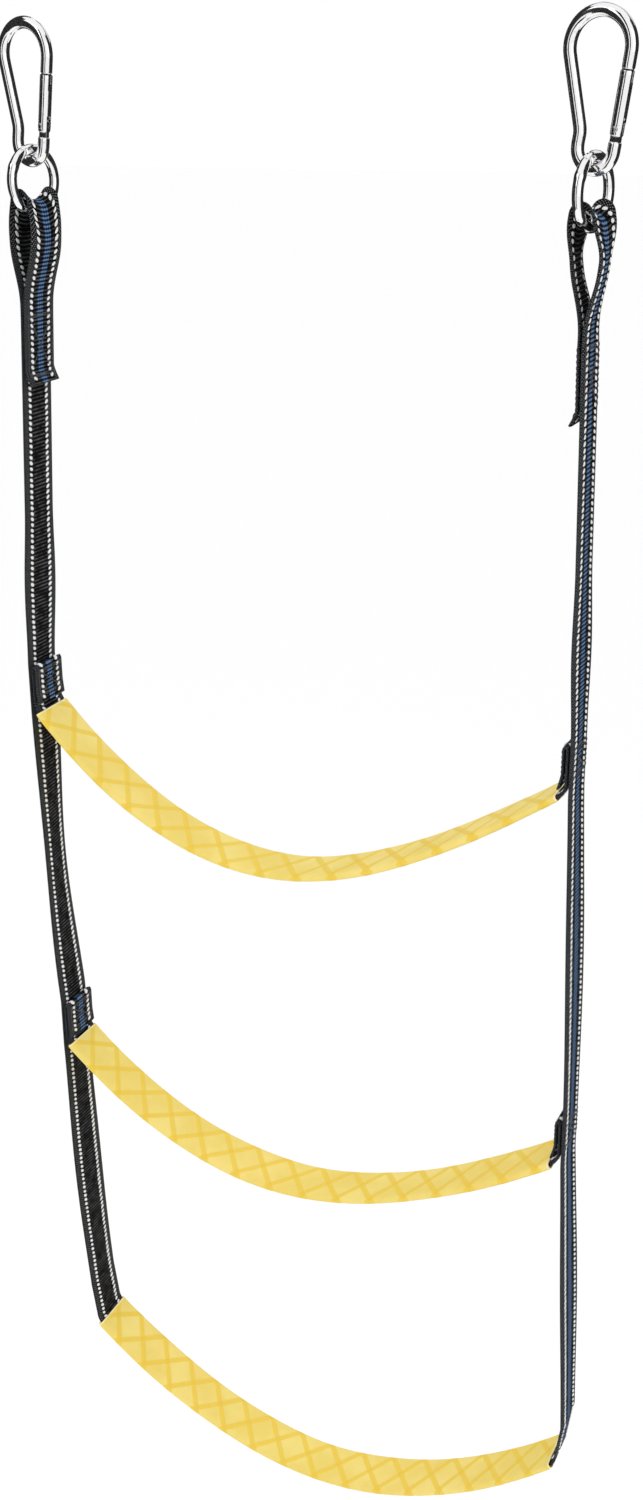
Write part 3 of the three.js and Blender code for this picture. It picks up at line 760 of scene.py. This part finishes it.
def step_strap(index):
    """A step's webbing from left to right, and the distances where its sag begins and ends."""
    doubled = index < 2
    half = RAIL_HALF - (LAYER if doubled else 3 * MM)
    x, z = step_x(index), step_z(index)
    trim = 0.03
    sag = [sag_point(index, u, half) for u in np.linspace(-1 + trim, 1 - trim, 160)]

    def end(side, sag_end):
        turn = bezier((x + side * half, z + 5 * MM), (x + side * half, z), sag_end, count=14)
        if not doubled:
            low = joint_point("bottom_step_level")
            top = (x + side * RAIL_HALF, low.z)
            return [*line(top, turn[0], 12), *turn]
        radius = LAYER / 2
        fold_z = z + TAB_HEIGHT - radius - THICKNESS / 2
        inner = x + side * (half - LAYER)
        tail = TAB_END if side < 0 else TAB_END - 1.2 * MM
        hang = side * (-0.8 if side < 0 else -2.2) * MM
        start = 0 if side < 0 else math.pi
        return [
            *bezier(
                (inner + hang, z + tail), (inner + hang * 0.4, z + tail + 4 * MM), (inner, z + 11 * MM),
                count=10,
            ),
            *line((inner, z + 11 * MM), (inner, fold_z), 8),
            *arc((x + side * (half - radius), fold_z), radius, start, math.pi - start, 14),
            *line((x + side * half, fold_z), turn[0], 8),
            *turn,
        ]

    left, right = end(-1, sag[0]), end(1, sag[-1])
    path = Path(left, sag, right[::-1])
    begins = np.argmin(np.hypot(path.x - sag[0][0], path.z - sag[0][1]))
    finishes = np.argmin(np.hypot(path.x - sag[-1][0], path.z - sag[-1][1]))
    return Strap(path, 1), path.s[begins], path.s[finishes]


def sleeve_piece(index, strap, start, end):
    """A flat tube with a raised diamond pattern outside, a plain inside and rounded rims."""
    name = STEP_NAMES[index]
    rows, around = round((end - start) / (1.05 * MM)), 72
    radius = SLEEVE_THICKNESS / 2
    straight = SLEEVE_WIDTH / 2 - radius
    perimeter = 4 * straight + 2 * math.pi * radius
    w = np.arange(around) / around * perimeter

    def outline(inset):
        """(v, t) round the section, from the middle of the upper face."""
        r = radius - inset
        quarter, bend = straight, math.pi * radius
        points = []
        for distance in w:
            if distance < quarter:
                points.append((distance, r))
            elif distance < quarter + bend:
                a = (distance - quarter) / radius
                points.append((straight + r * math.sin(a), r * math.cos(a)))
            elif distance < 3 * quarter + bend:
                points.append((straight - (distance - quarter - bend), -r))
            elif distance < 3 * quarter + 2 * bend:
                a = (distance - 3 * quarter - bend) / radius
                points.append((-straight - r * math.sin(a), -r * math.cos(a)))
            else:
                points.append((distance - perimeter, r))
        return np.array(points)

    lower_face = np.where(w < 3 * perimeter / 4, perimeter / 2 - w, w - perimeter)
    pattern_v = np.where(w < perimeter / 4, w, lower_face)
    s = np.linspace(start, end, rows)
    middle = (start + end) / 2
    # The bottom step's pattern meets its edge, not its middle, at mid span.
    shift = (0.0, 0.25, 0.5)[index] * DIAMOND_PITCH
    position = (s - middle + shift)[:, None]
    scale = math.hypot(1 / DIAMOND_PITCH, 1 / DIAMOND_SPAN)
    relief = np.zeros((rows, around))
    for sign in (1, -1):
        phase = position / DIAMOND_PITCH + sign * pattern_v[None] / DIAMOND_SPAN
        away = np.abs(phase - np.round(phase)) / scale
        relief = np.maximum(relief, 1 - smooth(away, 0.9 * MM, 2.4 * MM))
    outer = outline(0)
    normal = outer - np.stack((np.clip(outer[:, 0], -straight, straight), np.zeros(around)), -1)
    normal /= np.linalg.norm(normal, axis=1)[:, None]
    rng = np.random.default_rng(7 + index)
    waves = rng.uniform(0, 2 * math.pi, 4)
    belly = 0.18 * MM * np.sin(s / (31 * MM) + waves[0]) + 0.1 * MM * np.sin(s / (13 * MM) + waves[1])
    sideways = 0.35 * MM * np.sin(s / (47 * MM) + waves[2])
    edge_fade = smooth(np.abs(pattern_v), SLEEVE_WIDTH / 2 - 4.5 * MM, SLEEVE_WIDTH / 2 - 1 * MM)
    relief = relief * (1 - 0.85 * edge_fade)
    lift = relief * DIAMOND_HEIGHT - 0.12 * MM + belly[:, None]
    rim = np.minimum(s - start, end - s)[:, None]
    lift = lift - 0.25 * MM * (1 - smooth(rim, 0, 0.8 * MM))
    v = outer[None, :, 0] + normal[None, :, 0] * lift + sideways[:, None]
    t = outer[None, :, 1] + normal[None, :, 1] * lift
    shape = Shape()
    outside = strap.place(s[:, None], v, t).reshape(-1, 3)
    uvs = np.stack(np.broadcast_arrays(pattern_v[None] / MM, position / MM), -1).reshape(-1, 2)

    inner_rows = 60
    inner = outline(SLEEVE_WALL)
    inner_s = np.linspace(start, end, inner_rows)
    inner_sideways = np.interp(inner_s, s, sideways)
    inside = strap.place(inner_s[:, None], inner[None, :, 0] + inner_sideways[:, None], inner[None, :, 1])
    inner_uvs = np.stack(
        np.broadcast_arrays(pattern_v[None] / MM, (inner_s - middle + shift)[:, None] / MM), -1,
    ).reshape(-1, 2)
    base = rows * around
    faces = tube_faces(rows, around, capped=False)
    faces += [[i + base for i in face][::-1] for face in tube_faces(inner_rows, around, capped=False)]
    for outer_row, inner_row in ((0, 0), (rows - 1, inner_rows - 1)):
        for a in range(around):
            b = (a + 1) % around
            rim_face = [outer_row * around + b, outer_row * around + a,
                        base + inner_row * around + a, base + inner_row * around + b]
            faces.append(rim_face if outer_row == 0 else rim_face[::-1])
    shape.add(np.concatenate((outside, inside.reshape(-1, 3))), np.concatenate((uvs, inner_uvs)), faces)
    last_row, rims = (rows - 2) * around, len(faces) - 2 * around
    for face in (*range(around), *range(last_row, last_row + around), *range(rims, len(faces))):
        shape.kinds[face] = 1
    piece = shape.build(f"{name}_sleeve", [SLEEVE, SLEEVE_EDGE], sharp=60)
    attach(piece, f"{name}_step")
    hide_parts(f"{name}_step_sleeve")


def add_step(index, rails):
    name = STEP_NAMES[index]
    strap, begins, finishes = step_strap(index)
    webbing = webbing_piece(f"{name}_webbing", strap, 0, strap.path.length)
    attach(webbing, f"{name}_step")
    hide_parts(f"{name}_step_webbing")
    doubled = index < 2
    right_end = SLEEVE_END + (RIGHT_SLEEVE_GAP if doubled else 0)
    sleeve_piece(index, strap, begins + SLEEVE_END, finishes - right_end)
    if not doubled:
        return
    surface = THICKNESS / 2
    lowest, highest = step_z(index) + 7 * MM, step_z(index) + TAB_HEIGHT - 3 * MM
    for side, _ in SIDES:
        rail = rails[side]
        loop_end = below_loop(side, rail.path)
        low, high = (rail.path.distance(z, after=loop_end) for z in (highest, lowest))
        piece = box_stitches(
            f"{side}_{name}_joint_stitches", rail, low, high, [(1, surface), (-1, 2 * LAYER + surface)],
        )
        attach(piece, f"{name}_step")
        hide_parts(f"{side}_{name}_joint_stitching")


# ---- Hooks and rings ----------------------------------------------------------------------------

TOP_Z = WIRE / 2 - TOP_RADIUS
BOW_Z = 1.5 * WIRE - HOOK_HEIGHT + BOW_RADIUS
GATE_LEAN = math.asin((TOP_RADIUS - BOW_RADIUS) / (TOP_Z - BOW_Z))


def gate_side(distance):
    return np.array((
        TOP_RADIUS * math.cos(GATE_LEAN) - distance * math.sin(GATE_LEAN),
        TOP_Z - TOP_RADIUS * math.sin(GATE_LEAN) - distance * math.cos(GATE_LEAN),
    ))


def hanger_matrix(side):
    foot = ring_foot(side)
    return Matrix.Translation((foot.x, 0, 0)) @ Matrix.Rotation(HANGER_YAW, 4, "Z")


def gate_matrix(side):
    pivot = gate_side(PIVOT_DISTANCE)
    place = Matrix.Translation((pivot[0], 0, pivot[1]))
    return hanger_matrix(side) @ place @ Matrix.Rotation(GATE_LEAN, 4, "Y")


def moved(points, matrix):
    rotation = np.array(matrix.to_3x3())
    return np.asarray(points) @ rotation.T + np.array(matrix.translation)


def add_plate(shape, outline, thickness, matrix, chamfer=0.35 * MM):
    """A flat plate standing in the XZ plane, with chamfered edges."""
    outline = np.array(outline, float)
    middle = outline.mean(0)
    inset = outline + (middle - outline) / np.linalg.norm(middle - outline, axis=1)[:, None] * chamfer
    half = thickness / 2
    levels = ((inset, -half), (outline, -half + chamfer), (outline, half - chamfer), (inset, half))
    points = [(x, y, z) for ring, y in levels for x, z in ring]
    points = moved(points, matrix)
    shape.add(points, points[:, [0, 2]] / MM, tube_faces(4, len(outline)))


def hook_piece(side):
    """The wire is round along its whole length, with a notched nose and a heel let into its ends."""
    leg_top = np.array((-TOP_RADIUS * math.cos(LEG_LEAN), TOP_Z - TOP_RADIUS * math.sin(LEG_LEAN)))
    down = np.array((math.sin(LEG_LEAN), -math.cos(LEG_LEAN)))
    leg_foot = leg_top + down * LEG_LENGTH
    path = Path(
        line(gate_side(PIVOT_DISTANCE + 5.4 * MM), gate_side(PIVOT_DISTANCE + 9.5 * MM), 6),
        arc((0, BOW_Z), BOW_RADIUS, -GATE_LEAN, -math.pi, 40),
        bezier(
            (-BOW_RADIUS, BOW_Z), (-BOW_RADIUS, BOW_Z + 4 * MM), leg_foot + down * 4 * MM, leg_foot, count=16,
        ),
        line(leg_foot, leg_top, 16),
        arc((0, TOP_Z), TOP_RADIUS, math.pi + LEG_LEAN, -GATE_LEAN, 60),
        line(gate_side(0), gate_side(NOSE_DISTANCE), 6),
    )
    around, rows = 24, 190
    round_over = 0.7 * MM
    s = np.linspace(0, path.length, rows)
    s = np.sort(np.concatenate((s, [0.15 * MM, 0.4 * MM, path.length - 0.4 * MM, path.length - 0.15 * MM])))
    from_end = np.minimum(s, path.length - s)
    radius = WIRE / 2 - round_over * (1 - np.sqrt(1 - (1 - np.clip(from_end / round_over, 0, 1)) ** 2))
    x, z, along_x, along_z = path.at(s)
    angles = np.linspace(0, 2 * math.pi, around, endpoint=False)
    out = radius[:, None] * np.cos(angles)
    points = np.stack((
        x[:, None] + out * along_z[:, None],
        radius[:, None] * np.sin(angles),
        z[:, None] - out * along_x[:, None],
    ), -1).reshape(-1, 3)
    shape = Shape()
    uvs = np.stack(np.broadcast_arrays(angles[None] * WIRE / 2 / MM, s[:, None] / MM), -1).reshape(-1, 2)
    shape.add(moved(points, hanger_matrix(side)), uvs, tube_faces(len(s), around))
    half, notch = 2.5 * MM, 1.2 * MM
    tip, root = PIN_HEIGHT - notch - 1.6 * MM, GATE_LENGTH + 1.5 * MM
    nose = [
        (-half, root), (-half, PIN_HEIGHT + notch), *arc((0, PIN_HEIGHT), notch, math.pi / 2, -math.pi / 2, 8),
        (-half, PIN_HEIGHT - notch), (-half + 0.8 * MM, tip), (half - 0.8 * MM, tip), (half, tip + 0.8 * MM),
        (half, root),
    ]
    heel = [(-half, -6.4 * MM), (half, -6.4 * MM), (half, 2.4 * MM), (half - 0.6 * MM, 3 * MM),
            (-half + 0.6 * MM, 3 * MM), (-half, 2.4 * MM)]
    add_plate(shape, nose, 2.2 * MM, gate_matrix(side), 0.15 * MM)
    add_plate(shape, heel, 2.2 * MM, gate_matrix(side), 0.25 * MM)
    piece = shape.build(f"{side}_hook_body", [STEEL], sharp=35)
    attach(piece, "hooks")
    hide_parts(f"{side}_hook")


def revolved(shape, profile, matrix, around=28):
    """A closed body of revolution about Y from (radius, y) pairs that start and end on the axis."""
    points, uvs = [], []
    rings = profile[1:-1]
    for radius, y in rings:
        for a in np.linspace(0, 2 * math.pi, around, endpoint=False):
            points.append((radius * math.cos(a), y, radius * math.sin(a)))
            uvs.append((a * radius / MM, y / MM))
    shape.add(moved(points, matrix), uvs, tube_faces(len(rings), around))


def cut_away(piece, cutters):
    """Boolean difference of a piece and several box or rod cutters, applied to the mesh."""
    for cutter in cutters:
        modifier = piece.modifiers.new("cut", "BOOLEAN")
        modifier.operation = "DIFFERENCE"
        modifier.solver = "EXACT"
        modifier.object = cutter
    evaluated = piece.evaluated_get(bpy.context.evaluated_depsgraph_get())
    mesh = bpy.data.meshes.new_from_object(evaluated)
    piece.modifiers.clear()
    piece.data = mesh
    for cutter in cutters:
        bpy.data.objects.remove(cutter)


def gate_piece(side):
    """A round bar with rounded ends and a slot in each, over the hook's nose and heel."""
    radius = GATE_DIAMETER / 2
    foot, top, soft = -3.2 * MM, GATE_LENGTH, 0.9 * MM
    heights = [foot, foot + 0.12 * MM, foot + 0.4 * MM, foot + soft,
               *np.linspace(foot + 3 * MM, top - 2 * MM, 10), top - 0.5 * MM, top - 0.15 * MM, top]
    radii = [radius - 1.5 * MM, radius - 0.95 * MM, radius - 0.45 * MM, radius - 0.1 * MM, *[radius] * 10,
             radius, radius - 0.12 * MM, radius - 0.5 * MM]
    around = 32
    angles = np.linspace(0, 2 * math.pi, around, endpoint=False)
    points = [(r * math.cos(a), r * math.sin(a), h) for r, h in zip(radii, heights) for a in angles]
    uvs = [(a * 3.2, h / MM) for h in heights for a in angles]
    shape = Shape()
    shape.add(points, uvs, tube_faces(len(heights), around))
    piece = shape.build(f"{side}_gate_bar", [STEEL], sharp=35)
    cutters = []
    slot = 3.0 * MM
    for low, high in ((foot - 1 * MM, 5 * MM), (top - 7.2 * MM, top + 1 * MM)):
        box = Shape()
        corners = [(x, y, z) for z in (low, high) for x, y in
                   ((-5 * MM, -slot / 2), (5 * MM, -slot / 2), (5 * MM, slot / 2), (-5 * MM, slot / 2))]
        box.add(corners, [(0, 0)] * 8, tube_faces(2, 4))
        cutters.append(box.build("cutter", []))
    cut_away(piece, cutters)
    piece.data.set_sharp_from_angle(angle=math.radians(35))
    piece.data.transform(gate_matrix(side))
    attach(piece, f"{side}_gate")
    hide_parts(f"{side}_gate")


def pin_pieces(side):
    """The rivet through the heel and the latch pin, with low domed heads."""
    for name, node, radius, reach, height in (
        ("rivet", "gate_rivet", 1.45 * MM, 3.55 * MM, 0),
        ("cross_pin", "latch_pin", 0.9 * MM, 3.25 * MM, PIN_HEIGHT),
    ):
        shape = Shape()
        half_head = [
            (radius, reach - 0.4 * MM), (radius * 0.85, reach - 0.14 * MM), (radius * 0.45, reach), (0, reach),
        ]
        head = [(r, -y) for r, y in half_head[::-1]] + half_head
        matrix = gate_matrix(side) @ Matrix.Translation((0, 0, height))
        revolved(shape, head, matrix)
        piece = shape.build(f"{side}_{name}", [DARK_STEEL], sharp=50)
        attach(piece, f"{side}_gate")
        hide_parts(f"{side}_{node}")


def ring_piece(side):
    """A welded ring: round wire with a slight bead where its ends meet."""
    around, rows = 22, 110
    centre_z = ring_foot(side).z + RING_RADIUS
    turn = np.linspace(0, 2 * math.pi, rows, endpoint=False)
    angles = np.linspace(0, 2 * math.pi, around, endpoint=False)
    weld = math.radians(152)
    bead = 0.22 * MM * np.exp(-((turn - weld) * RING_RADIUS / (1.6 * MM)) ** 2)
    radius = RING_WIRE / 2 + bead
    out = RING_RADIUS + radius[:, None] * np.cos(angles)
    points = np.stack((
        radius[:, None] * np.sin(angles) * np.ones((rows, 1)),
        out * np.cos(turn)[:, None],
        centre_z + out * np.sin(turn)[:, None],
    ), -1).reshape(-1, 3)
    uvs = np.stack(np.broadcast_arrays(angles[None] * 2.6, turn[:, None] * 15.4), -1).reshape(-1, 2)
    faces = []
    for r in range(rows):
        n = (r + 1) % rows
        for a in range(around):
            b = (a + 1) % around
            faces.append([r * around + a, r * around + b, n * around + b, n * around + a])
    shape = Shape()
    shape.add(moved(points, hanger_matrix(side)), uvs, faces)
    piece = shape.build(f"{side}_welded_ring", [STEEL], sharp=60)
    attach(piece, f"{side}_ring")
    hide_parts(f"{side}_ring")


# ---- Light and floor ----------------------------------------------------------------------------

FLOOR_Z = -2.2
FLOOR_HALF = 40

def add_area(name, place, target, size, power):
    data = bpy.data.lights.new(name, "AREA")
    data.shape = "RECTANGLE"
    data.size, data.size_y = size
    data.energy = power
    light = bpy.data.objects.new(name, data)
    light.location = place
    light.rotation_euler = (Vector(target) - Vector(place)).to_track_quat("-Z", "Y").to_euler()
    bpy.context.scene.collection.objects.link(light)


def add_world():
    """A white studio."""
    world = bpy.data.worlds.new("studio")
    world.use_nodes = True
    bpy.context.scene.world = world
    background = world.node_tree.nodes["Background"]
    background.inputs["Color"].default_value = (1, 1, 1, 1)
    background.inputs["Strength"].default_value = 1.0


def add_cards():
    """Dark upright cards that only reflections see: they give the steel dark edges and a streak."""
    material = Nodes("dark_card").set(Base_Color=(0.012, 0.012, 0.013, 1), Roughness=0.9)
    radius, low, high = 2.2, -2.4, 2.6
    for number, (middle, width) in enumerate(CARDS):
        angles = np.radians(np.linspace(middle - width / 2, middle + width / 2, 9)) + GAP_FREE
        points = [(radius * math.cos(a), radius * math.sin(a), z) for z in (low, high) for a in angles]
        faces = [[i, i + 1, i + 10, i + 9] for i in range(8)]
        mesh = bpy.data.meshes.new(f"card_{number}")
        mesh.from_pydata(points, [], faces)
        mesh.materials.append(material)
        card = bpy.data.objects.new(f"card_{number}", mesh)
        bpy.context.scene.collection.objects.link(card)
        card.visible_camera = card.visible_diffuse = card.visible_shadow = False
        card.visible_transmission = card.visible_volume_scatter = False


def add_floor():
    """A plain pale floor, well below the hanging ladder."""
    mesh = bpy.data.meshes.new("floor")
    corners = ((-1, -1), (1, -1), (1, 1), (-1, 1))
    mesh.from_pydata([(x * FLOOR_HALF, y * FLOOR_HALF, FLOOR_Z) for x, y in corners], [], [(0, 1, 2, 3)])
    mesh.materials.append(Nodes("pale_floor").set(Base_Color=(0.99, 0.99, 0.99, 1), Roughness=0.9))
    floor = bpy.data.objects.new("floor", mesh)
    bpy.context.scene.collection.objects.link(floor)


def add_lights():
    middle = (0, 0, -0.45)
    add_area("key", (-1.3, -1.6, 1.3), middle, (1.4, 1.4), 9)
    add_area("fill", (1.9, -1.2, 0.4), middle, (1.6, 1.6), 3)
    add_area("rim", (0.4, 1.9, 1.0), middle, (1.6, 1.2), 5)


# ---- The ladder ---------------------------------------------------------------------------------

add_camera()
straps = {}
for side_name, side_sign in SIDES:
    hook_piece(side_name)
    gate_piece(side_name)
    pin_pieces(side_name)
    ring_piece(side_name)
    straps[side_name] = add_rail(side_name, side_sign)
    for node_name in ("gate_spring", "gate_plunger"):
        frame["nodes"][f"{side_name}_{node_name}"].data.materials.clear()
        frame["nodes"][f"{side_name}_{node_name}"].data.materials.append(DARK_STEEL)
for step_index in range(3):
    add_step(step_index, straps)
add_world()
add_floor()
add_cards()
add_lights()
bpy.context.scene.view_settings.view_transform = "Standard"
